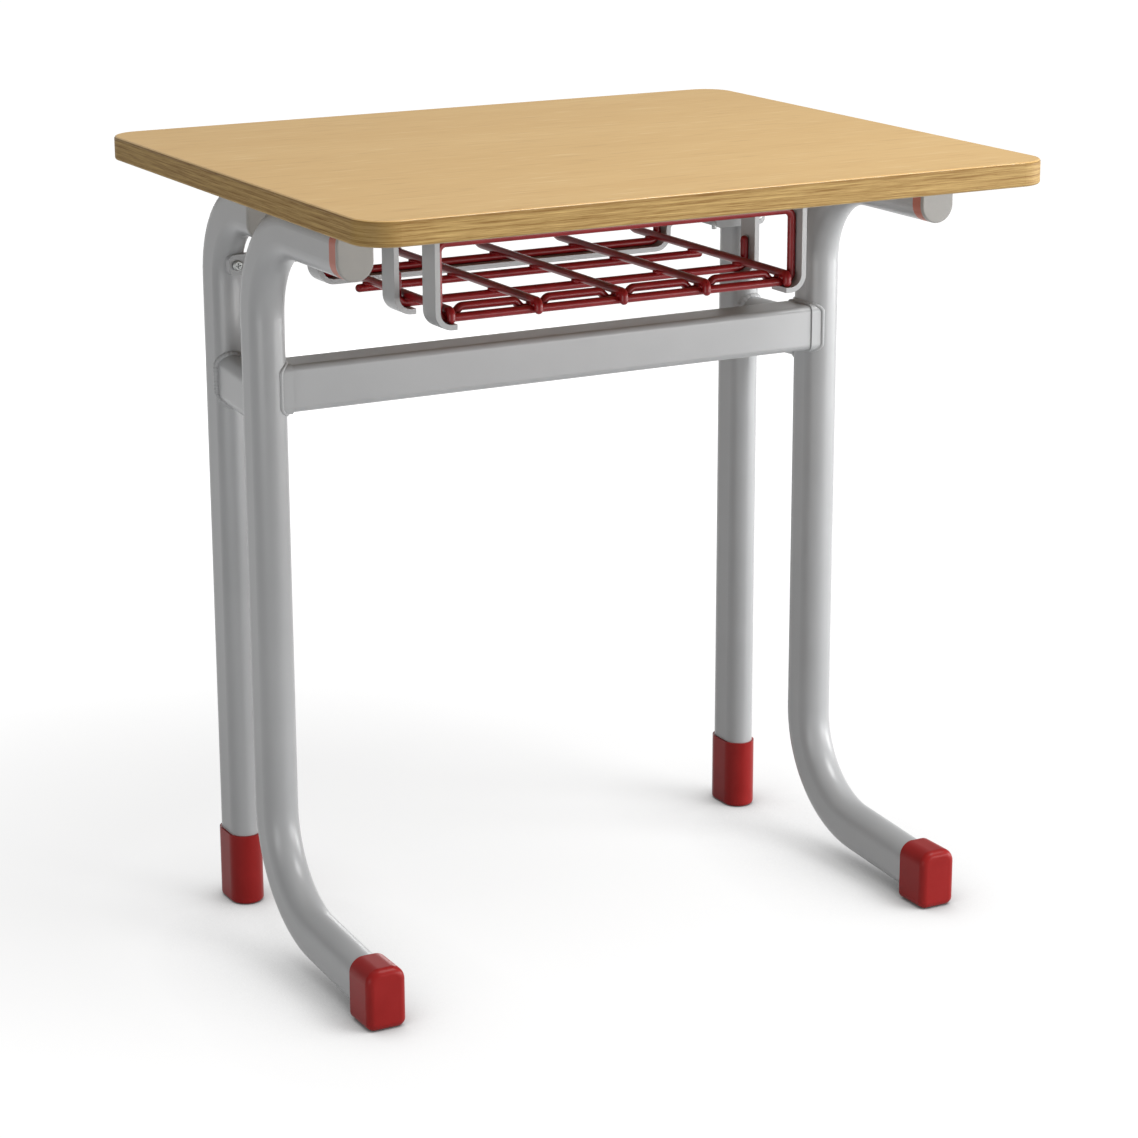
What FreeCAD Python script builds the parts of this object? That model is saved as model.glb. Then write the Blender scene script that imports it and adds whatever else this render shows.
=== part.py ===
import FreeCAD, Part
import math
import os

# Single-seat study desk: a laminated board on a welded oval-tube frame, with a
# wire book basket hung under the board.
# Millimetres. X is the width, -Y is the side of the sitter, Z is up.
# The origin lies on the floor under the middle of the board.

# Board
desk_height = 760.0
board_width = 700.0
board_depth = 600.0
board_thickness = 23.0
board_corner_radius = 32.0
board_edge_round = 2.5
laminate_thickness = 1.0
underside = desk_height - board_thickness

# Frame tubes
tube_wall = 2.0
c_tube_depth = 50.0
c_tube_width = 35.0
c_leg_inset = 45.0
c_leg_y = 27.0
top_bend_radius = 90.0
foot_bend_radius = 105.0
foot_slope_deg = 4.0
foot_end_y = -210.0
foot_end_z = 28.5
arm_end_y = -164.0
rear_tube_depth = 50.0
rear_tube_width = 30.0
rear_leg_inboard = 14.0
rear_leg_y = 154.0
rear_bend_radius = 75.0
rear_arm_end_y = 56.0
rear_leg_bottom = 6.0

# Cross rail, its end plates and the links between the legs of one side
rail_height = 45.0
rail_depth = 44.0
rail_corner = 6.0
rail_drop = 183.5
collar_length = 2.0
collar_rim = 1.6
link_height = 50.0
link_width = 26.0
link_wall = 2.5
link_drop = 197.0

# Foot caps and tube end closures
cap_width = 39.5
cap_height = 60.0
cap_length = 40.0
cap_end_wall = 6.0
cap_top_corner = 14.0
cap_low_corner = 8.0
cap_front_round = 7.0
cup_wall = 2.2
cup_height = 73.0
cup_base_round = 4.0
band_length = 13.0
plug_head = 4.0
plug_head_round = 1.5
plug_depth = 18.0
plug_clearance = 0.15

# Tabs that hold the board, welded along the arms
tab_length = 30.0
tab_reach = 38.0
tab_thickness = 4.0
tab_corner = 6.0
tab_bite = 7.5
tab_strap_gap = 6.0
rear_tab_overlap = 3.0

# Basket straps and rear hanger, bent from flat bar
bar_width = 26.0
bar_thickness = 5.0
hanger_half_width = 198.0
basket_drop = 116.0
hanger_top_bend = 4.0
hanger_foot_length = 34.0
strap_toe_length = 22.0
rear_hanger_drop = 85.0
rear_hanger_gap = 0.5

# Brackets between the rear hanger and the rear legs
bracket_height = 20.0
bracket_front_y = 117.0
bracket_saddle_depth = 9.0
bracket_outer_reach = 8.0
bracket_inner_reach = 51.0
bracket_corner = 6.0
shelf_thickness = 4.0

# Basket wire
wire_diameter = 8.0
wire_bend = 8.0
row_spacing = 85.0
front_row_y = -105.0
cross_spacing = 90.0
loop_height = 69.0
lip_rise = 8.0
lip_dip_half = 9.0
lip_slope_run = 8.0
lip_bend = 6.0
row_end_rise = 27.0
knob_reach = 8.0
cross_rear_y = 194.0
cross_rear_rise = 57.0
cross_rear_bend = 18.0
hook_bend = 4.5
back_wire_overhang = 6.0

# Screws
screw_shank = 4.5
screw_length = 19.0
screw_head = 9.5
screw_head_height = 3.0
bolt_shank = 5.0
bolt_head = 10.0
bolt_head_height = 3.4
bolt_length = 16.0
hole_clearance = 0.2

c_leg_x = board_width / 2 - c_leg_inset
rear_leg_x = c_leg_x - rear_leg_inboard
bracket_outer_x = rear_leg_x + bracket_outer_reach
bracket_inner_x = rear_leg_x - bracket_inner_reach
rail_centre_z = underside - rail_drop
link_centre_z = underside - link_drop
hanger_floor_z = underside - basket_drop
rear_hanger_top_z = underside - rear_hanger_drop
wire_radius = wire_diameter / 2
hanger_low_bend = wire_bend + wire_radius
row_z = hanger_floor_z + bar_thickness + wire_radius
cross_z = row_z + wire_diameter
row_y = [front_row_y + i * row_spacing for i in range(4)]
cross_x = [(i - 2) * cross_spacing for i in range(5)]
wire_end_x = hanger_half_width - bar_thickness - wire_radius
UP = FreeCAD.Vector(0, 0, 1)
ACROSS = FreeCAD.Vector(1, 0, 0)
ALONG = FreeCAD.Vector(0, 1, 0)
ORIGIN = FreeCAD.Vector(0, 0, 0)


def vec(x, y, z):
    return FreeCAD.Vector(x, y, z)


def save(name, shape):
    """Write one sub-part to its own file."""
    shape.exportStep(os.path.join("parts", name + ".step"))


def mirrored(shape):
    """The same piece on the other side of the desk."""
    return shape.mirror(ORIGIN, ACROSS)


def save_pair(name, left_shape):
    """Write a left-hand piece and its mirror image."""
    save("left_" + name, left_shape)
    save("right_" + name, mirrored(left_shape))


def route(points, radii):
    """Straight runs through the points, joined by tangent arcs, one radius per corner."""
    edges = []
    start = points[0]
    for i in range(1, len(points) - 1):
        corner = points[i]
        radius = radii[i - 1]
        back = (points[i - 1] - corner).normalize()
        ahead = (points[i + 1] - corner).normalize()
        half = back.getAngle(ahead) / 2
        setback = radius / math.tan(half)
        first = corner + back * setback
        last = corner + ahead * setback
        bisector = (back + ahead).normalize()
        middle = corner + bisector * (radius / math.sin(half) - radius)
        if (first - start).Length > 1e-6:
            edges.append(Part.makeLine(start, first))
        edges.append(Part.Arc(first, middle, last).toShape())
        start = last
    edges.append(Part.makeLine(start, points[-1]))
    return Part.Wire(edges)


def oval(centre, wide_axis, deep_axis, width, depth):
    """Flat-sided oval outline: two half circles of the width joined by straights."""
    radius = width / 2
    half = depth / 2 - radius
    side = wide_axis * radius
    top = centre + deep_axis * half
    low = centre - deep_axis * half
    right_side = Part.makeLine(low + side, top + side)
    top_arc = Part.Arc(top + side, top + deep_axis * radius, top - side).toShape()
    left_side = Part.makeLine(top - side, low - side)
    low_arc = Part.Arc(low - side, low - deep_axis * radius, low + side).toShape()
    return Part.Wire([right_side, top_arc, left_side, low_arc])


def rounded_rectangle(centre, wide_axis, tall_axis, width, height, low_radius, top_radius):
    """Rectangle with one radius for the low corners and one for the top corners."""
    a = width / 2
    b = height / 2
    corners = [(a, -b, low_radius), (a, b, top_radius), (-a, b, top_radius), (-a, -b, low_radius)]
    steps = [(1, 0), (0, 1), (-1, 0), (0, -1)]
    edges = []
    ends = []
    for i in range(4):
        x, y, radius = corners[i]
        sx, sy = steps[i]
        tx, ty = steps[(i + 1) % 4]
        first = (x - sx * radius, y - sy * radius)
        last = (x + tx * radius, y + ty * radius)
        pull = radius * (1 - math.sqrt(0.5))
        middle = (x - sx * pull + tx * pull, y - sy * pull + ty * pull)
        spots = [centre + wide_axis * u + tall_axis * v for u, v in (first, middle, last)]
        ends.append((spots[0], spots[2]))
        edges.append(Part.Arc(spots[0], spots[1], spots[2]).toShape())
        if i > 0:
            edges.insert(len(edges) - 1, Part.makeLine(ends[i - 1][1], spots[0]))
    edges.append(Part.makeLine(ends[3][1], ends[0][0]))
    return Part.Wire(edges)


def prism(outline, direction):
    return Part.Face(outline).extrude(direction)


def sweep(path, section):
    """Solid made by carrying the section along the path."""
    return path.makePipeShell([section], True, False)


def wire_rod(points, bends):
    """Round basket wire along bent points, with domed ends."""
    path = route(points, bends)
    heading = (points[1] - points[0]).normalize()
    circle = Part.Wire(Part.makeCircle(wire_radius, points[0], heading))
    rod = sweep(path, circle)
    for end in (points[0], points[-1]):
        rod = rod.fuse(Part.makeSphere(wire_radius, end))
    return rod.removeSplitter()


def bent_bar(corners, inner_bends, middle_y):
    """Flat bar bent in the XZ plane; corners follow its middle line."""
    bends = [inner + bar_thickness / 2 for inner in inner_bends]
    path = route([vec(x, middle_y - bar_width / 2, z) for x, z in corners], bends)
    start = vec(corners[0][0], middle_y - bar_width / 2, corners[0][1])
    heading = vec(corners[1][0] - corners[0][0], 0, corners[1][1] - corners[0][1]).normalize()
    normal = heading.cross(ALONG).normalize()
    a = start + normal * (bar_thickness / 2)
    b = start - normal * (bar_thickness / 2)
    section = Part.makePolygon([a, a + ALONG * bar_width, b + ALONG * bar_width, b, a])
    return sweep(path, section)


def screw(seat, direction, shank, length, head, head_height):
    """Pan-head screw: the head stands on the seat, the shank goes along direction."""
    body = Part.makeCylinder(shank / 2, length, seat, direction)
    base = seat - direction * head_height
    cap = Part.makeCylinder(head / 2, head_height, base, direction)
    rim = [e for e in cap.Edges if abs((e.CenterOfMass - base).dot(direction)) < 1e-6 and e.isClosed()]
    cap = cap.makeFillet(head_height * 0.45, rim)
    slot_length = head * 0.55
    for axis in (0, 1):
        square = Part.makeBox(slot_length, 1.2, head_height * 0.5, vec(-slot_length / 2, -0.6, 0))
        square.rotate(ORIGIN, UP, 90 * axis)
        square.Placement = FreeCAD.Placement(base, FreeCAD.Rotation(UP, direction)).multiply(square.Placement)
        cap = cap.cut(square)
    return body.fuse(cap).removeSplitter()


def hole(seat, direction, shank, length):
    """Clearance hole for a screw, running a little past both ends of its shank."""
    radius = shank / 2 + hole_clearance
    return Part.makeCylinder(radius, length + 1.0, seat - direction * 0.5, direction)


os.makedirs("parts", exist_ok=True)

# C legs: arm under the board, top bend, column, foot bend and foot in one tube
slope = math.radians(foot_slope_deg)
arm_z = underside - c_tube_depth / 2
heel_z = foot_end_z + (c_leg_y - foot_end_y) * math.tan(slope)
c_points = [
    vec(-c_leg_x, arm_end_y, arm_z),
    vec(-c_leg_x, c_leg_y, arm_z),
    vec(-c_leg_x, c_leg_y, heel_z),
    vec(-c_leg_x, foot_end_y, foot_end_z),
]


def c_tube(shrink):
    path = route(c_points, [top_bend_radius, foot_bend_radius])
    section = oval(c_points[0], ACROSS, UP, c_tube_width - 2 * shrink, c_tube_depth - 2 * shrink)
    return sweep(path, section)


c_outer = c_tube(0.0)
c_leg = c_outer.cut(c_tube(tube_wall))

# Rear legs: short arm under the board, bend and straight leg
rear_arm_z = underside - rear_tube_depth / 2
rear_points = [
    vec(-rear_leg_x, rear_arm_end_y, rear_arm_z),
    vec(-rear_leg_x, rear_leg_y, rear_arm_z),
    vec(-rear_leg_x, rear_leg_y, rear_leg_bottom),
]


def rear_tube(shrink):
    path = route(rear_points, [rear_bend_radius])
    section = oval(rear_points[0], ACROSS, UP, rear_tube_width - 2 * shrink, rear_tube_depth - 2 * shrink)
    return sweep(path, section)


rear_outer = rear_tube(0.0)
rear_leg = rear_outer.cut(rear_tube(tube_wall))

# Links between the two legs of one side, coped to both tubes
link_start = vec(-c_leg_x, c_leg_y, link_centre_z)
link_run = vec(c_leg_x - rear_leg_x, rear_leg_y - c_leg_y, 0)
link_across = link_run.cross(UP).normalize()
link = prism(oval(link_start, link_across, UP, link_width, link_height), link_run)
link_bore = oval(link_start, link_across, UP, link_width - 2 * link_wall, link_height - 2 * link_wall)
link = link.cut(prism(link_bore, link_run))
link = link.cut(c_outer).cut(rear_outer)
link = max(link.Solids, key=lambda s: s.Volume)
save_pair("leg_link", link)

# End plates that close the rail, coped to the columns and the links
collar_inner_x = -c_leg_x + c_tube_width / 2 + collar_length
collar_start = vec(-c_leg_x, c_leg_y, rail_centre_z)
collar_corner = rail_corner + collar_rim
collar_outline = rounded_rectangle(collar_start, ALONG, UP, rail_depth + 2 * collar_rim,
                                   rail_height + 2 * collar_rim, collar_corner, collar_corner)
collar = prism(collar_outline, ACROSS * (collar_inner_x + c_leg_x)).cut(c_outer).cut(link)
save_pair("rail_end_plate", max(collar.Solids, key=lambda s: s.Volume))

# Cross rail between the end plates
rail_start = vec(collar_inner_x, c_leg_y, rail_centre_z)
rail_run = ACROSS * (-2 * collar_inner_x)
rail_bore = rounded_rectangle(rail_start, ALONG, UP, rail_depth - 2 * tube_wall, rail_height - 2 * tube_wall,
                              rail_corner - tube_wall, rail_corner - tube_wall)
rail_outline = rounded_rectangle(rail_start, ALONG, UP, rail_depth, rail_height, rail_corner, rail_corner)
rail = prism(rail_outline, rail_run).cut(prism(rail_bore, rail_run))
save("cross_rail", rail)

# Caps on the front feet
cap_front_y = foot_end_y - cap_end_wall
cap_back = vec(-c_leg_x, cap_front_y + cap_length, cap_height / 2)
cap_outline = rounded_rectangle(cap_back, ACROSS, UP, cap_width, cap_height, cap_low_corner, cap_top_corner)
foot_cap = prism(cap_outline, ALONG * -cap_length)
front_edges = [e for e in foot_cap.Edges if abs(e.BoundBox.YMax - cap_front_y) < 1e-4]
foot_cap = foot_cap.makeFillet(cap_front_round, front_edges)
foot_cap = foot_cap.cut(c_outer)
foot_cap = max(foot_cap.Solids, key=lambda s: s.Volume)
save_pair("front_foot_cap", foot_cap)

# Cups on the rear feet
cup_start = vec(-rear_leg_x, rear_leg_y, 0)
cup_outline = oval(cup_start, ACROSS, ALONG, rear_tube_width + 2 * cup_wall, rear_tube_depth + 2 * cup_wall)
cup = prism(cup_outline, UP * cup_height)
cup = cup.makeFillet(cup_base_round, [e for e in cup.Edges if e.BoundBox.ZMax < 1e-4])
cup = cup.cut(rear_outer)
save_pair("rear_foot_cap", cup)


def end_plug(face_centre, width, depth, stand_off):
    """Plug for an open tube end that faces -Y; stand_off leaves room for a band."""
    head = prism(oval(face_centre, ACROSS, UP, width, depth), ALONG * plug_head)
    rim = [e for e in head.Edges if abs(e.BoundBox.YMax - face_centre.y) < 1e-4]
    head = head.makeFillet(plug_head_round, rim)
    shrink = 2 * (tube_wall + plug_clearance)
    neck_start = face_centre + ALONG * (plug_head / 2)
    neck_outline = oval(neck_start, ACROSS, UP, width - shrink, depth - shrink)
    neck = prism(neck_outline, ALONG * (plug_head / 2 + stand_off + plug_depth))
    return head.fuse(neck).removeSplitter()


# Coloured bands and plugs that close the arms
band_start = vec(-c_leg_x, arm_end_y, arm_z)
bore_shrink = 2 * (tube_wall + plug_clearance)
band_bore = oval(band_start, ACROSS, UP, c_tube_width - bore_shrink, c_tube_depth - bore_shrink)
band = prism(oval(band_start, ACROSS, UP, c_tube_width, c_tube_depth), ALONG * -band_length)
band = band.cut(prism(band_bore, ALONG * -band_length))
save_pair("arm_band", band)
arm_face = vec(-c_leg_x, arm_end_y - band_length - plug_head, arm_z)
save_pair("arm_plug", end_plug(arm_face, c_tube_width, c_tube_depth, band_length))
rear_arm_face = vec(-rear_leg_x, rear_arm_end_y - plug_head, rear_arm_z)
save_pair("rear_arm_plug", end_plug(rear_arm_face, rear_tube_width, rear_tube_depth, 0.0))

# Tabs under the board, coped to the arms, and the screws that go up through them
board_holes = []
board_screws = []


def board_screw(x, y, z):
    """A screw up into the board from a seat at the given height, on both sides."""
    for sign in (1, -1):
        seat = vec(sign * x, y, z)
        board_screws.append(screw(seat, UP, screw_shank, screw_length, screw_head, screw_head_height))
        board_holes.append(hole(seat, UP, screw_shank, screw_length))


def arm_tab(tube_x, middle_y, tube):
    """Flat tab from the flank of a tube towards the middle of the desk."""
    outer_x = -(tube_x - tab_bite)
    low_z = underside - tab_thickness
    inner_x = outer_x + tab_reach
    outline = rounded_rectangle(vec(outer_x + tab_reach / 2, middle_y, low_z), ALONG, ACROSS,
                                tab_length, tab_reach, 0.5, tab_corner)
    tab = prism(outline, UP * tab_thickness).cut(tube)
    tab = max(tab.Solids, key=lambda s: s.Volume)
    screw_x = inner_x - tab_length / 3
    board_screw(screw_x, middle_y, low_z)
    return tab.cut(hole(vec(screw_x, middle_y, low_z), UP, screw_shank, screw_length))


tab_offset = (bar_width + tab_length) / 2 + tab_strap_gap
save_pair("front_arm_tab", arm_tab(c_leg_x, front_row_y - tab_offset, c_outer))
save_pair("middle_arm_tab", arm_tab(c_leg_x, front_row_y + tab_offset, c_outer))
save_pair("rear_arm_tab", arm_tab(rear_leg_x, rear_arm_end_y + tab_length / 2 + rear_tab_overlap, rear_outer))
save("board_screws", Part.makeCompound(board_screws))

# Front and middle straps: a foot under the board, an upright and a toe under a wire
side_x = hanger_half_width - bar_thickness / 2
floor_z = hanger_floor_z + bar_thickness / 2
foot_z = underside - bar_thickness / 2
foot_x = hanger_half_width + hanger_foot_length
toe_x = hanger_half_width - strap_toe_length
strap_screws = []


def strap(middle_y):
    corners = [(-foot_x, foot_z), (-side_x, foot_z), (-side_x, floor_z), (-toe_x, floor_z)]
    bar = bent_bar(corners, [hanger_top_bend, hanger_low_bend], middle_y)
    seat = vec(-foot_x + hanger_foot_length / 3, middle_y, underside - bar_thickness)
    fixing = screw(seat, UP, screw_shank, screw_length, screw_head, screw_head_height)
    opening = hole(seat, UP, screw_shank, screw_length)
    strap_screws.extend([fixing, mirrored(fixing)])
    board_holes.extend([opening, mirrored(opening)])
    return bar.cut(opening)


save_pair("front_strap", strap(row_y[0]))
save_pair("middle_strap", strap(row_y[1]))
save("strap_screws", Part.makeCompound(strap_screws))

# Rear hanger: uprights turned outwards onto brackets on the rear legs
rear_run_z = rear_hanger_top_z - bar_thickness / 2
rear_end_x = rear_leg_x - rear_tube_width / 2 - rear_hanger_gap
left_run = [(-rear_end_x, rear_run_z), (-side_x, rear_run_z), (-side_x, floor_z)]
right_run = [(-x, z) for x, z in reversed(left_run)]
hanger_bends = [hanger_top_bend, hanger_low_bend, hanger_low_bend, hanger_top_bend]
rear_bar = bent_bar(left_run + right_run, hanger_bends, row_y[3])
bolt_x = (bracket_inner_x + rear_end_x) / 2
bracket_bolts = []
for sign in (1, -1):
    seat = vec(sign * bolt_x, row_y[3], rear_hanger_top_z)
    bracket_bolts.append(screw(seat, -UP, bolt_shank, bolt_length, bolt_head, bolt_head_height))
    rear_bar = rear_bar.cut(hole(seat, -UP, bolt_shank, bolt_length))
save("rear_hanger", rear_bar)
save("bracket_bolts", Part.makeCompound(bracket_bolts))

# Brackets: a saddle on the front of the rear leg and a shelf under the hanger end
shelf_top = rear_hanger_top_z - bar_thickness
bracket_low_z = shelf_top - shelf_thickness
shelf_back_y = row_y[3] + bar_width / 2
saddle_z = bracket_low_z + bracket_height / 2
saddle_width = bracket_outer_x - bracket_inner_x
saddle_middle = vec(-bracket_outer_x + saddle_width / 2, bracket_front_y, saddle_z)
saddle_outline = rounded_rectangle(saddle_middle, ACROSS, UP, saddle_width, bracket_height,
                                   bracket_corner, bracket_corner)
saddle = prism(saddle_outline, ALONG * bracket_saddle_depth)
shelf_reach = rear_end_x - bracket_inner_x - bracket_corner
shelf = Part.makeBox(shelf_reach, shelf_back_y - bracket_front_y, shelf_thickness,
                     vec(-rear_end_x, bracket_front_y, bracket_low_z))
bracket = saddle.fuse(shelf).cut(rear_outer)
bracket = bracket.removeSplitter()
leg_seat = vec(-rear_leg_x, bracket_front_y, saddle_z)
leg_screw = screw(leg_seat, ALONG, bolt_shank, bolt_length, bolt_head, bolt_head_height)
leg_hole = hole(leg_seat, ALONG, bolt_shank, bolt_length)
bracket = bracket.cut(leg_hole)
bracket = bracket.cut(hole(vec(-bolt_x, row_y[3], rear_hanger_top_z), -UP, bolt_shank, bolt_length))
bracket = max(bracket.Solids, key=lambda s: s.Volume)
save_pair("rear_bracket", bracket)
save("leg_screws", Part.makeCompound([leg_screw, mirrored(leg_screw)]))
save_pair("c_leg", c_leg)
save_pair("rear_leg", rear_leg.cut(leg_hole))

# Front loop of the basket: one closed, rounded rectangle of wire
loop_top_z = row_z + loop_height
loop_half = [vec(0, row_y[0], row_z), vec(-wire_end_x, row_y[0], row_z),
             vec(-wire_end_x, row_y[0], loop_top_z), vec(0, row_y[0], loop_top_z)]
loop_circle = Part.Wire(Part.makeCircle(wire_radius, loop_half[0], ACROSS))
half_loop = sweep(route(loop_half, [wire_bend, wire_bend]), loop_circle)
save("basket_front_loop", half_loop.fuse(mirrored(half_loop)).removeSplitter())

# Lip wire behind the loop: it dips under each cross wire and rises between them
lip_y = row_y[0] + wire_diameter
lip_points = [vec(cross_x[0], lip_y, row_z)]
for i in range(4):
    left = cross_x[i] + lip_dip_half
    right = cross_x[i + 1] - lip_dip_half
    lip_points.append(vec(left, lip_y, row_z))
    lip_points.append(vec(left + lip_slope_run, lip_y, row_z + lip_rise))
    lip_points.append(vec(right - lip_slope_run, lip_y, row_z + lip_rise))
    lip_points.append(vec(right, lip_y, row_z))
lip_points.append(vec(cross_x[4], lip_y, row_z))
save("basket_lip_wire", wire_rod(lip_points, [lip_bend] * 16))


def upturned_row(y):
    """Floor wire with both ends turned up beside the hanger uprights."""
    top = row_z + row_end_rise
    left = [vec(-wire_end_x, y, top), vec(-wire_end_x, y, row_z)]
    right = [vec(wire_end_x, y, row_z), vec(wire_end_x, y, top)]
    return wire_rod(left + right, [wire_bend, wire_bend])


save("basket_middle_wire", upturned_row(row_y[1]))
save("basket_rear_wire", upturned_row(row_y[3]))

# Straight floor wire carried only by the cross wires
knob_x = cross_x[4] + knob_reach
straight_row = [vec(-knob_x, row_y[2], row_z), vec(knob_x, row_y[2], row_z)]
save("basket_third_wire", wire_rod(straight_row, []))

# Cross wires: hooked over the front loop, turned up at the back
hook_y = row_y[0] - wire_diameter
cross_names = ["far_left", "left", "centre", "right", "far_right"]
for i in range(5):
    x = cross_x[i]
    front = [vec(x, hook_y, row_z), vec(x, hook_y, cross_z)]
    back = [vec(x, cross_rear_y, cross_z), vec(x, cross_rear_y, cross_z + cross_rear_rise)]
    save("cross_wire_" + cross_names[i], wire_rod(front + back, [hook_bend, cross_rear_bend]))

# Back wire along the turned-up ends of the cross wires
back_x = cross_x[4] + back_wire_overhang
back_y = cross_rear_y - wire_diameter
back_z = cross_z + cross_rear_rise - wire_radius
save("basket_back_wire", wire_rod([vec(-back_x, back_y, back_z), vec(back_x, back_y, back_z)], []))

# Board: laminated top, plywood core with visible edge, backing laminate
board_outline = rounded_rectangle(vec(0, 0, underside), ACROSS, ALONG, board_width, board_depth,
                                  board_corner_radius, board_corner_radius)
board = prism(board_outline, UP * board_thickness)
rim = [e for e in board.Edges if e.BoundBox.ZLength < 1e-6]
board = board.makeFillet(board_edge_round, rim)


def board_layer(low, high):
    slab = Part.makeBox(board_width + 20, board_depth + 20, high - low,
                        vec(-board_width / 2 - 10, -board_depth / 2 - 10, low))
    layer = board.common(slab)
    for opening in board_holes:
        layer = layer.cut(opening)
    return layer


top_seam = desk_height - laminate_thickness
low_seam = underside + laminate_thickness
save("desktop_top_laminate", board_layer(top_seam, desk_height))
save("desktop_core", board_layer(low_seam, top_seam))
save("desktop_backing_laminate", board_layer(underside, low_seam))
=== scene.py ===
import math
import bpy
import numpy as np
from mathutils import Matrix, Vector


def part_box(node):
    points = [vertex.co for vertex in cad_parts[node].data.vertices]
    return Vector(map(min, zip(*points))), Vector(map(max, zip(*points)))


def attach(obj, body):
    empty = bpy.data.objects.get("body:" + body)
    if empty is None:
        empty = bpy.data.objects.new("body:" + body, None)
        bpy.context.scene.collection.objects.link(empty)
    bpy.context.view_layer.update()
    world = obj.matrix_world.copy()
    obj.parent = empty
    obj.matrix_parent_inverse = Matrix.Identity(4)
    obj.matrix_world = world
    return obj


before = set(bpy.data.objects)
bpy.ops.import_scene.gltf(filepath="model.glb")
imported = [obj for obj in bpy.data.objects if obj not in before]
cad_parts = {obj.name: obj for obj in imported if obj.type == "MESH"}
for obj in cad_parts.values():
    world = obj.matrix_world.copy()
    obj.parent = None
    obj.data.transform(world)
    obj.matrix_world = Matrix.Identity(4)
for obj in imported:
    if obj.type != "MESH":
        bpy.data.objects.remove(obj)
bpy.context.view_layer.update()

# The two C legs and the two rear legs: oval steel tube, bent on a mandrel and
# welded up, then powder coated a light neutral grey as one frame. The coat
# flows out to a satin skin with a fine orange peel.


def linear(code):
    """sRGB hex to the linear colour that a shader socket takes."""
    value = np.array([int(code[i:i + 2], 16) for i in (1, 3, 5)]) / 255
    value = np.where(value <= 0.04045, value / 12.92, ((value + 0.055) / 1.055) ** 2.4)
    return (*value, 1.0)


def feed(tree, node, inputs):
    """Set a node's inputs: an output is linked in, any other value is set on the socket."""
    for socket, value in inputs.items():
        if isinstance(value, bpy.types.NodeSocket):
            tree.links.new(value, node.inputs[socket])
        else:
            node.inputs[socket].default_value = value


def add(tree, kind, inputs, **fields):
    """Add one node: fields are its own settings, inputs are what feed takes."""
    made = tree.nodes.new("ShaderNode" + kind)
    for field, value in fields.items():
        setattr(made, field, value)
    feed(tree, made, inputs)
    return made


def blend(tree, factor, first, second):
    """The colour that a factor from 0 to 1 picks between a first and a second colour."""
    return add(tree, "Mix", {0: factor, 6: first, 7: second}, data_type="RGBA").outputs[2]


def new_finish(name):
    """A material with its node tree, its surface shader and the place on the piece, in metres."""
    material = bpy.data.materials.new(name)
    material.use_nodes = True
    tree = material.node_tree
    place = add(tree, "TexCoord", {}).outputs["Object"]
    return material, tree, tree.nodes["Principled BSDF"], place


def coat_nodes(material, *names):
    """Give the named CAD pieces one material."""
    for name in names:
        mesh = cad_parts[name].data
        mesh.materials.clear()
        mesh.materials.append(material)


def both_sides(*names):
    """The left and the right piece of each name, in turn."""
    return [side + name for name in names for side in ("left_", "right_")]


# Powder coat: polyester resin over steel, IOR about 1.5, roughness about 0.3.
# It gives soft, long highlights on the bends. The peel is about 1.5 mm from
# crest to crest and is drawn at 3 mm so that it shows.
grey_coat, tree, shader, place = new_finish("grey_powder_coat")
drift = add(tree, "TexNoise", {"Vector": place, "Scale": 1 / 0.090, "Detail": 2.0})
peel = add(tree, "TexNoise", {"Vector": place, "Scale": 1 / 0.003, "Detail": 1.0})
tone = blend(tree, drift.outputs["Fac"], linear("#a2a3a4"), linear("#aeafb0"))
gloss = add(tree, "MapRange", {"Value": drift.outputs["Fac"], "To Min": 0.29, "To Max": 0.35})
skin = add(tree, "Bump", {"Height": peel.outputs["Fac"], "Strength": 0.08, "Distance": 0.0002})
feed(tree, shader, {"Base Color": tone, "Roughness": gloss.outputs["Result"],
                    "Normal": skin.outputs["Normal"], "IOR": 1.5})
coat_nodes(grey_coat, *both_sides("c_leg", "rear_leg"))

# Links between the legs of one side and the cross rail between the sides:
# tube, coped to the legs and closed by end plates, with a weld run all round
# each joint under the grey coat.
coat_nodes(grey_coat, "cross_rail", *both_sides("leg_link", "rail_end_plate"))


def grid_piece(name, grids, material, wrap):
    """One smooth object from grids of points, each rows by columns. Columns close on themselves;
    rows do too where wrap is true, or else the first and last row are capped. A grid that
    encloses a negative volume is turned over."""
    count, rows, columns = grids.shape[:3]
    i, j = np.meshgrid(np.arange(rows - (not wrap)), np.arange(columns), indexing="ij")
    this_row = i * columns
    next_row = (i + 1) % rows * columns
    next_column = (j + 1) % columns
    corners = [this_row + j, this_row + next_column, next_row + next_column, next_row + j]
    faces = np.stack(corners, -1).reshape(-1, 4)
    points = grids.reshape(count, -1, 3)
    centred = points - points.mean(1, keepdims=True)
    a, b, c, d = np.moveaxis(centred[:, faces], 2, 0)
    inside_out = np.einsum("gfi,gfi->g", a, np.cross(b - d, c))[:, None, None] < 0
    start = rows * columns * np.arange(count)[:, None, None]
    faces = np.where(inside_out, faces[:, ::-1], faces) + start
    polygons = faces.reshape(-1, 4).tolist()
    if not wrap:
        rim = np.arange(columns)
        caps = np.stack([rim[::-1], (rows - 1) * columns + rim])
        caps = np.where(inside_out, caps[:, ::-1], caps) + start
        polygons += caps.reshape(-1, columns).tolist()
    mesh = bpy.data.meshes.new(name)
    mesh.from_pydata(points.reshape(-1, 3).tolist(), [], polygons)
    mesh.shade_smooth()
    mesh.materials.append(material)
    piece = bpy.data.objects.new(name, mesh)
    bpy.context.scene.collection.objects.link(piece)
    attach(piece, "root")


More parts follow.
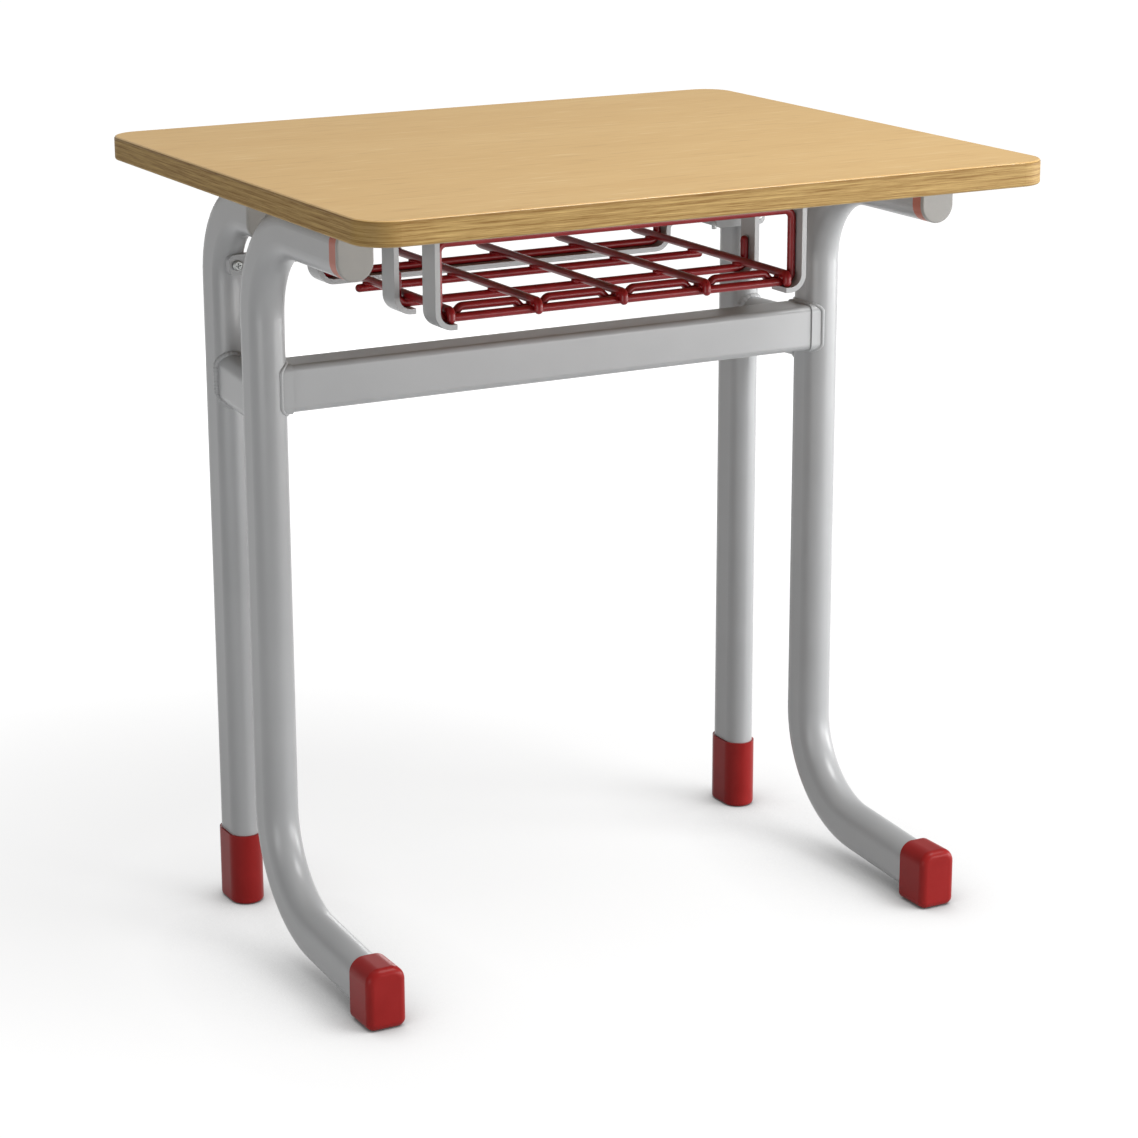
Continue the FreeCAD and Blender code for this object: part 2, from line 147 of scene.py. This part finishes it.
def weld_run(path, radius, ripple):
    """A weld run: a circle carried round a closed path, square to it. Its radius swells by 7 %
    once every ripple length, and drifts by 6 % three times and 5 % seven times on the way."""
    ahead = np.roll(path, -1, 0) - np.roll(path, 1, 0)
    ahead /= np.linalg.norm(ahead, axis=1, keepdims=True)
    out = path - path.mean(0)
    out -= ahead * np.sum(out * ahead, 1, keepdims=True)
    out /= np.linalg.norm(out, axis=1, keepdims=True)
    side = np.cross(ahead, out)
    length = np.linalg.norm(np.roll(path, -1, 0) - path, axis=1)
    along = np.concatenate([[0], np.cumsum(length)[:-1]])
    phase = 2 * np.pi * along / length.sum()
    ripples = round(length.sum() / ripple)
    drift = 0.06 * np.sin(3 * phase + 1) + 0.05 * np.sin(7 * phase)
    swell = radius * (1 + 0.07 * np.cos(ripples * phase) + drift)
    angle = np.linspace(0, 2 * np.pi, 12, endpoint=False)[:, None]
    ring = out[:, None] * np.cos(angle) + side[:, None] * np.sin(angle)
    return path[:, None] + swell[:, None, None] * ring


def rounded_ring(half_wide, half_tall, corner):
    """160 points round a rounded rectangle, evenly by length: nine points on each quarter
    circle, with straights between the quarters, measured along and spaced out again."""
    turn = np.radians(10 * np.arange(37) + 5)
    wide = (half_wide - corner) * np.sign(np.cos(turn)) + corner * np.cos(turn)
    tall = (half_tall - corner) * np.sign(np.sin(turn)) + corner * np.sin(turn)
    along = np.concatenate([[0], np.cumsum(np.hypot(np.diff(wide), np.diff(tall)))])
    even = np.linspace(0, along[-1], 160, endpoint=False)
    return np.interp(even, along, wide), np.interp(even, along, tall)


def with_mirror(grids):
    """Grids of the left side, followed by the same grids mirrored to the right side."""
    return np.concatenate([grids, grids * np.array([-1.0, 1.0, 1.0])])


# The link's outline meets the round side of each tube: every point of the
# outline runs along the link until it is the tube's radius from its centre.
# Front and back of a tube are round, and its flanks have a short flat between.
c_leg_y, c_half_flat = 0.027, 0.0075
rear_leg_y, rear_half_flat = 0.154, 0.010
link_half_wide, link_half_tall = 0.013, 0.025
rear_bead, c_bead, link_ripple = 0.0036, 0.0026, 0.0034
c_low, c_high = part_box("left_c_leg")
rear_low, rear_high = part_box("left_rear_leg")
link_low, link_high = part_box("left_leg_link")
c_axis = np.array([(c_low[0] + c_high[0]) / 2, c_leg_y])
c_round = (c_high[0] - c_low[0]) / 2
rear_axis = np.array([(rear_low[0] + rear_high[0]) / 2, rear_leg_y])
rear_round = (rear_high[0] - rear_low[0]) / 2
run = (rear_axis - c_axis) / np.linalg.norm(rear_axis - c_axis)
across = np.array([run[1], -run[0]])
link_wide, link_tall = rounded_ring(link_half_wide, link_half_tall, link_half_wide)
link_z = (link_low[2] + link_high[2]) / 2 + link_tall
between_legs = c_axis + 0.060 * run


def meet_round(centre, radius, heading):
    """Where lines of the link's outline, going along heading, first touch a circle: the way to
    the place nearest the centre, less the half chord that the circle cuts from the line."""
    start = between_legs + across * link_wide[:, None] - centre
    near = start @ heading
    reach = -near - np.sqrt(near ** 2 - np.sum(start ** 2, 1) + radius ** 2)
    return np.column_stack([start + reach[:, None] * heading + centre, link_z])


rear_joint = meet_round(rear_axis - (0, rear_half_flat), rear_round, run)
c_joint = meet_round(c_axis + (0, c_half_flat), c_round, -run)
link_runs = np.stack([weld_run(rear_joint, rear_bead, link_ripple),
                      weld_run(c_joint, c_bead, link_ripple)])
grid_piece("link_weld_runs", with_mirror(link_runs), grey_coat, True)

# The end plate's outline lies on the flank of the column, which is flat in the
# middle and round towards the front and the back.
plate_half_deep, plate_half_tall, plate_corner = 0.0236, 0.0241, 0.0076
plate_bead, plate_ripple = 0.0018, 0.0030
plate_low, plate_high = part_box("left_rail_end_plate")
plate_y, plate_z = rounded_ring(plate_half_deep, plate_half_tall, plate_corner)
past_flat = np.clip(np.abs(plate_y) - c_half_flat, 0, None)
plate_x = c_axis[0] + np.sqrt(c_round ** 2 - past_flat ** 2)
plate_z += (plate_low[2] + plate_high[2]) / 2
plate_path = np.column_stack([plate_x, c_leg_y + plate_y, plate_z])
plate_run = weld_run(plate_path, plate_bead, plate_ripple)[None]
grid_piece("rail_weld_runs", with_mirror(plate_run), grey_coat, True)

# Foot caps: soft plastic moulded in oxide red, pushed over the tube ends. The
# mould leaves a satin skin with a fine spark grain, cloudy in tone and gloss.
red_cap, tree, shader, place = new_finish("red_moulded_polythene")
cloud = add(tree, "TexNoise", {"Vector": place, "Scale": 1 / 0.025, "Detail": 3.0})
grain = add(tree, "TexNoise", {"Vector": place, "Scale": 1 / 0.0016, "Detail": 2.0})
tone = blend(tree, cloud.outputs["Fac"], linear("#881c1b"), linear("#992625"))
gloss = add(tree, "MapRange", {"Value": cloud.outputs["Fac"], "To Min": 0.29, "To Max": 0.36})
skin = add(tree, "Bump", {"Height": grain.outputs["Fac"], "Strength": 0.10, "Distance": 0.0002})
feed(tree, shader, {"Base Color": tone, "Roughness": gloss.outputs["Result"],
                    "Normal": skin.outputs["Normal"], "IOR": 1.5, "Specular IOR Level": 0.12})
coat_nodes(red_cap, *both_sides("front_foot_cap", "rear_foot_cap"))

# Arm ends: a salmon plastic band and a grey push-in plug close each tube.
# Both are plain moulded polythene, faintly cloudy, with a satin skin.
for name, dark, pale, roughness, pieces in (
        ("salmon_moulded_polythene", "#a95a47", "#b96a54", 0.42, ("arm_band",)),
        ("pale_grey_moulded_polythene", "#92918e", "#9e9b96", 0.45, ("arm_plug", "rear_arm_plug"))):
    moulded, tree, shader, place = new_finish(name)
    cloud = add(tree, "TexNoise", {"Vector": place, "Scale": 1 / 0.015, "Detail": 3.0})
    grain = add(tree, "TexNoise", {"Vector": place, "Scale": 1 / 0.0016, "Detail": 2.0})
    tone = blend(tree, cloud.outputs["Fac"], linear(dark), linear(pale))
    skin = add(tree, "Bump", {"Height": grain.outputs["Fac"], "Strength": 0.08, "Distance": 0.0002})
    feed(tree, shader, {"Base Color": tone, "Roughness": roughness, "Normal": skin.outputs["Normal"]})
    coat_nodes(moulded, *both_sides(*pieces))

# Tabs, straps, rear hanger and brackets: flat steel bar cut, bent and drilled,
# coated with the frame. The tabs are welded to the arms along their lower edge;
# the rest is screwed on.
coat_nodes(grey_coat, "rear_hanger", *both_sides(
    "front_arm_tab", "middle_arm_tab", "rear_arm_tab", "front_strap", "middle_strap", "rear_bracket"))


def weld_buttons(centres, half_sizes):
    """Rounded weld buttons: an ellipsoid of the given half sizes about each centre, by angle
    from the pole and angle round it, with a small flat at each pole."""
    polar = np.linspace(0.3, np.pi - 0.3, 7)[:, None]
    turn = np.linspace(0, 2 * np.pi, 12, endpoint=False)[None]
    x, y = np.sin(polar) * np.cos(turn), np.sin(polar) * np.sin(turn)
    ball = np.stack(np.broadcast_arrays(x, y, np.cos(polar)), -1)
    return centres[:, None, None] + ball * np.array(half_sizes)


# A tab's lower edge meets the round top of its arm one tab thickness down, and
# the weld runs along that seam.
tab_bead = (0.0022, 0.0135, 0.0022)
tabs = both_sides("front_arm_tab", "middle_arm_tab", "rear_arm_tab")
tab_low, tab_high = np.moveaxis(np.array([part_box(name) for name in tabs]), 1, 0)
tab_thick = (tab_high - tab_low)[:, 2]
arm_round = np.array([rear_round if "rear" in name else c_round for name in tabs])
arm_x = np.array([rear_axis[0] if "rear" in name else c_axis[0] for name in tabs])
hand = np.array([1.0 if "left" in name else -1.0 for name in tabs])
seam_x = hand * (arm_x + np.sqrt(arm_round ** 2 - (arm_round - tab_thick) ** 2))
tab_seams = np.column_stack([seam_x, (tab_low + tab_high)[:, 1] / 2, tab_low[:, 2]])
tab_runs = weld_buttons(tab_seams, tab_bead)
grid_piece("tab_weld_runs", tab_runs, grey_coat, False)

# Basket: 8 mm steel wire, spot welded wherever two wires cross, then dipped in
# dark red. The dip draws to a smooth semi-gloss skin and fills the corners at
# the crossings.
wire_coat, tree, shader, place = new_finish("dark_red_dip_coat")
cloud = add(tree, "TexNoise", {"Vector": place, "Scale": 1 / 0.014, "Detail": 3.0})
drip = add(tree, "TexNoise", {"Vector": place, "Scale": 1 / 0.004, "Detail": 1.0})
tone = blend(tree, cloud.outputs["Fac"], linear("#760f13"), linear("#931a1e"))
skin = add(tree, "Bump", {"Height": drip.outputs["Fac"], "Strength": 0.12, "Distance": 0.0004})
feed(tree, shader, {"Base Color": tone, "Roughness": 0.30, "Normal": skin.outputs["Normal"],
                    "Specular IOR Level": 0.30})
rows = ["basket_" + name for name in ("front_loop", "lip_wire", "middle_wire", "third_wire", "rear_wire")]
crosses = ["cross_wire_" + name for name in ("far_left", "left", "centre", "right", "far_right")]
coat_nodes(wire_coat, "basket_back_wire", *rows, *crosses)

# Weld buttons: one where each cross wire lies on each row, and one where it
# stands against the back wire. The cross wires' front ends hook down to the
# underside of the rows, one wire lower than the place where the two touch.
wire_thick = 0.008
row_button, back_button = (0.0046, 0.0046, 0.0030), (0.0046, 0.0030, 0.0046)
cross_x = np.array([sum(corner[0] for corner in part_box(name)) / 2 for name in crosses])
row_y = np.array([sum(corner[1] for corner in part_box(name)) / 2 for name in rows])
touch_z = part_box("cross_wire_centre")[0][2] + wire_thick
row_grid = np.stack(np.meshgrid(cross_x, row_y, [touch_z], indexing="ij"), -1).reshape(-1, 3)
back_low, back_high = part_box("basket_back_wire")
back_z = (back_low[2] + back_high[2]) / 2
back_grid = np.stack(np.meshgrid(cross_x, [back_high[1]], [back_z], indexing="ij"), -1).reshape(-1, 3)
buttons = np.concatenate([weld_buttons(row_grid, row_button), weld_buttons(back_grid, back_button)])
grid_piece("wire_weld_buttons", buttons, wire_coat, False)

# Screws and bolts: pan heads with a cross recess, bright zinc plated steel.
# The plate is thin and faintly cloudy.
zinc, tree, shader, place = new_finish("bright_zinc_plate")
cloud = add(tree, "TexNoise", {"Vector": place, "Scale": 1 / 0.003, "Detail": 2.0})
tone = blend(tree, cloud.outputs["Fac"], linear("#8d9094"), linear("#adaea8"))
gloss = add(tree, "MapRange", {"Value": cloud.outputs["Fac"], "To Min": 0.32, "To Max": 0.48})
feed(tree, shader, {"Base Color": tone, "Roughness": gloss.outputs["Result"], "Metallic": 1.0})
coat_nodes(zinc, "board_screws", "strap_screws", "bracket_bolts", "leg_screws")

# Board: plywood core with an open lacquered edge. Eight veneers of about
# 2.6 mm show as bands, lighter where the grain runs along the edge and darker
# where it is cut across, with long fibres and a dark glue line under the laminate.
# Lacquer pools to a smoother skin along the rounded top arris.
veneers = 8
glue_start, glue_full, glue_share = 0.0022, 0.0008, 0.45
arris_start, arris_full = 0.0016, 0.0009


def streaks(tree, place, sizes, detail, roughness=0.5):
    """Noise from 0 to 1, drawn out to about the given sizes in metres along x, y and z."""
    drawn = add(tree, "Mapping", {"Vector": place, "Scale": [1 / size for size in sizes]})
    return add(tree, "TexNoise", {"Vector": drawn.outputs["Vector"], "Scale": 1.0,
                                  "Detail": detail, "Roughness": roughness}).outputs["Fac"]


def span(tree, value, start, end, low, high):
    """A value's way from start to end, carried over to the way from low to high and no further."""
    return add(tree, "MapRange", {"Value": value, "From Min": start, "From Max": end,
                                  "To Min": low, "To Max": high}).outputs["Result"]


core_low, core_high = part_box("desktop_core")
core_top = core_high[2]
edge_finish, tree, shader, place = new_finish("lacquered_plywood_edge")
height = add(tree, "SeparateXYZ", {"Vector": place}).outputs["Z"]
layer = span(tree, height, core_low[2], core_top, 0.0, veneers)
warp = streaks(tree, place, (0.110, 0.110, 0.020), 2.0)
wander = add(tree, "Math", {0: warp, 1: 0.6, 2: layer}, operation="MULTIPLY_ADD")
half_waves = add(tree, "Math", {0: wander.outputs[0], 1: math.pi}, operation="MULTIPLY")
bands = add(tree, "Math", {0: half_waves.outputs[0]}, operation="SINE")
fibre = streaks(tree, place, (0.045, 0.045, 0.0010), 5.0, 0.70)
fibre_tone = span(tree, fibre, 0.30, 0.70, 0.0, 1.0)
mixed = add(tree, "Math", {0: bands.outputs[0], 1: 0.12, 2: fibre_tone}, operation="MULTIPLY_ADD")
wood = blend(tree, mixed.outputs[0], linear("#7d5929"), linear("#c4a56a"))
glue = span(tree, height, core_top - glue_start, core_top - glue_full, 0.0, glue_share)
tone = blend(tree, glue, wood, linear("#7a5526"))
arris = span(tree, height, core_top - arris_start, core_top - arris_full, 0.55, 0.24)
pore = add(tree, "Bump", {"Height": fibre, "Strength": 0.15, "Distance": 0.0002})
feed(tree, shader, {"Base Color": tone, "Roughness": arris, "Normal": pore.outputs["Normal"],
                    "Specular IOR Level": 0.14})
coat_nodes(edge_finish, "desktop_core")

# Underside of the board: a plain balancing laminate the colour of kraft paper.
# It is matt, with soft clouds and fine specks.
backing, tree, shader, place = new_finish("kraft_backing_laminate")
cloud = add(tree, "TexNoise", {"Vector": place, "Scale": 1 / 0.060, "Detail": 4.0})
speck = add(tree, "TexNoise", {"Vector": place, "Scale": 1 / 0.0025, "Detail": 3.0})
mixed = add(tree, "Math", {0: cloud.outputs["Fac"], 1: speck.outputs["Fac"]}, operation="MULTIPLY")
tone = blend(tree, mixed.outputs[0], linear("#98805c"), linear("#bfa986"))
feed(tree, shader, {"Base Color": tone, "Roughness": 0.55})
coat_nodes(backing, "desktop_backing_laminate")

# Top of the board: high-pressure laminate printed as pale oak, grain along the
# width, with a satin press finish. Soft cloudy bands, straight fibres and short
# flecks, some dark and some pale. Real fibres and flecks are under 1 mm wide; they
# are drawn 3 and 4 mm wide so that they show. The rounded arris is pressed smoother.
oak, tree, shader, place = new_finish("pale_oak_print_laminate")
bands = streaks(tree, place, (0.60, 0.055, 1.0), 3.0)
fibre = streaks(tree, place, (0.080, 0.0030, 1.0), 3.0)
fleck = streaks(tree, place, (0.045, 0.0042, 1.0), 1.0)
fibre_share = span(tree, fibre, 0.35, 0.65, 0.0, 0.13)
dark_share = span(tree, fleck, 0.61, 0.78, 0.0, 0.34)
pale_share = span(tree, fleck, 0.38, 0.22, 0.0, 0.34)
tone = blend(tree, bands, linear("#d2a967"), linear("#deb97a"))
tone = blend(tree, fibre_share, tone, linear("#b98d50"))
tone = blend(tree, dark_share, tone, linear("#a97c43"))
tone = blend(tree, pale_share, tone, linear("#f2d8a6"))
press = add(tree, "Bump", {"Height": fibre, "Strength": 0.06, "Distance": 0.0002})
facing = add(tree, "SeparateXYZ", {"Vector": add(tree, "TexCoord", {}).outputs["Normal"]})
arris = span(tree, facing.outputs["Z"], 0.99, 0.95, 0.42, 0.24)
feed(tree, shader, {"Base Color": tone, "Roughness": arris, "Normal": press.outputs["Normal"]})
coat_nodes(oak, "desktop_top_laminate")

# Studio floor: white paper. It is white to the eye and darkens in the shadows, and close
# round each foot its glow is turned down as a painted contact shadow. As a light it is a plain matt grey.
floor_half = 12
corners = [(-floor_half, -floor_half, 0), (floor_half, -floor_half, 0),
           (floor_half, floor_half, 0), (-floor_half, floor_half, 0)]
floor_mesh = bpy.data.meshes.new("studio_floor")
floor_mesh.from_pydata(corners, [], [(0, 1, 2, 3)])
floor = bpy.data.objects.new("studio_floor", floor_mesh)
bpy.context.scene.collection.objects.link(floor)
paper, tree, shader, place = new_finish("white_studio_paper")
tree.nodes.remove(shader)
flat = add(tree, "VectorMath", {0: place, 1: (1, 1, 0)}, operation="MULTIPLY")
far = add(tree, "VectorMath", {0: flat.outputs["Vector"]}, operation="LENGTH")
lift = span(tree, far.outputs["Value"], 0.5, 1.5, 0.80, 1.0)
# Painted contact shadow: the glow is turned down where nearby parts hide the floor, close round each
# foot.
contact = add(tree, "AmbientOcclusion", {"Distance": 0.14}, samples=8)
painted_contact_shade = span(tree, contact.outputs["AO"], 0.28, 0.95, 0.05, 1.0)
strength = add(tree, "Math", {0: lift, 1: painted_contact_shade}, operation="MULTIPLY")
glow = add(tree, "Emission", {"Color": (1, 1, 1, 1), "Strength": strength.outputs[0]})
shadow_catch = add(tree, "BsdfDiffuse", {"Color": (0.23, 0.23, 0.23, 1)})
to_eye = add(tree, "AddShader", {0: glow.outputs[0], 1: shadow_catch.outputs[0]})
to_light = add(tree, "BsdfDiffuse", {"Color": (0.55, 0.55, 0.55, 1)})
path = add(tree, "LightPath", {}).outputs
seen = add(tree, "Math", {0: path["Is Camera Ray"], 1: path["Is Glossy Ray"]}, operation="MAXIMUM")
seen = add(tree, "Math", {0: seen.outputs[0], 1: path["Is Transmission Ray"]}, operation="MAXIMUM")
both = add(tree, "MixShader", {0: seen.outputs[0], 1: to_light.outputs[0], 2: to_eye.outputs[0]})
feed(tree, tree.nodes["Material Output"], {"Surface": both.outputs[0]})
floor_mesh.materials.append(paper)

# Studio surround: a white backdrop all round, dim as a light, white to the eye
# and half as bright in reflections.
as_light, in_gloss = 0.13, 0.50
world = bpy.data.worlds.new("studio_surround")
bpy.context.scene.world = world
world.use_nodes = True
tree = world.node_tree
path = add(tree, "LightPath", {}).outputs
dim = span(tree, path["Is Glossy Ray"], 0.0, 1.0, as_light, in_gloss)
seen = add(tree, "Math", {0: path["Is Camera Ray"], 1: path["Is Transmission Ray"]}, operation="MAXIMUM")
seen = add(tree, "Math", {0: seen.outputs[0], 1: dim}, operation="MAXIMUM")
feed(tree, tree.nodes["Background"], {"Color": (1, 1, 1, 1), "Strength": seen.outputs[0]})


def softbox(name, place, target, width, height, watts):
    """A rectangular area lamp at a place, turned to face a target."""
    lamp = bpy.data.lights.new(name, "AREA")
    lamp.shape = "RECTANGLE"
    lamp.size = width
    lamp.size_y = height
    lamp.energy = watts
    made = bpy.data.objects.new(name, lamp)
    away = np.array(place, float) - np.array(target, float)
    tilt = math.acos(away[2] / np.linalg.norm(away))
    made.location = place
    made.rotation_euler = (tilt, 0, math.atan2(away[1], away[0]) + math.pi / 2)
    bpy.context.scene.collection.objects.link(made)


# A key softbox stands high in front on the right and a wide one hangs overhead.
# Four low ones light the frame from all round, strongest on the right. They end
# below the board's top, so that it doesn't mirror them.
softbox("key_softbox", (1.43, -1.53, 3.09), (0, 0, 0.4), 1.5, 1.5, 92)
softbox("overhead_softbox", (0, 0, 3.2), (0, 0.001, 0), 3.0, 3.0, 21)
for name, x, y, watts in (("right_softbox", 2.98, -0.96, 41), ("front_softbox", 1.72, -2.21, 30),
                          ("left_softbox", -2.50, -1.25, 17), ("back_softbox", 1.00, 2.70, 12)):
    softbox(name, (x, y, 0.42), (0, 0, 0.42), 1.6, 0.66, watts)

# Camera at the photograph's angle: about 29 degrees left of the front, 16 above.
# Its focal length was fitted in pixels of the photograph.
focal_pixels, picture_pixels = 3165.84, 1138
camera_data = bpy.data.cameras.new("photo_camera")
camera_data.sensor_width = 36.0
camera_data.lens = focal_pixels / picture_pixels * camera_data.sensor_width
camera = bpy.data.objects.new("photo_camera", camera_data)
camera.location = (-1.4404, -2.6342, 1.1992)
camera.rotation_euler = (math.pi / 2 - 0.2781, 0.0028, -0.5020)
bpy.context.scene.collection.objects.link(camera)
bpy.context.scene.camera = camera
bpy.context.scene.view_settings.view_transform = "Standard"
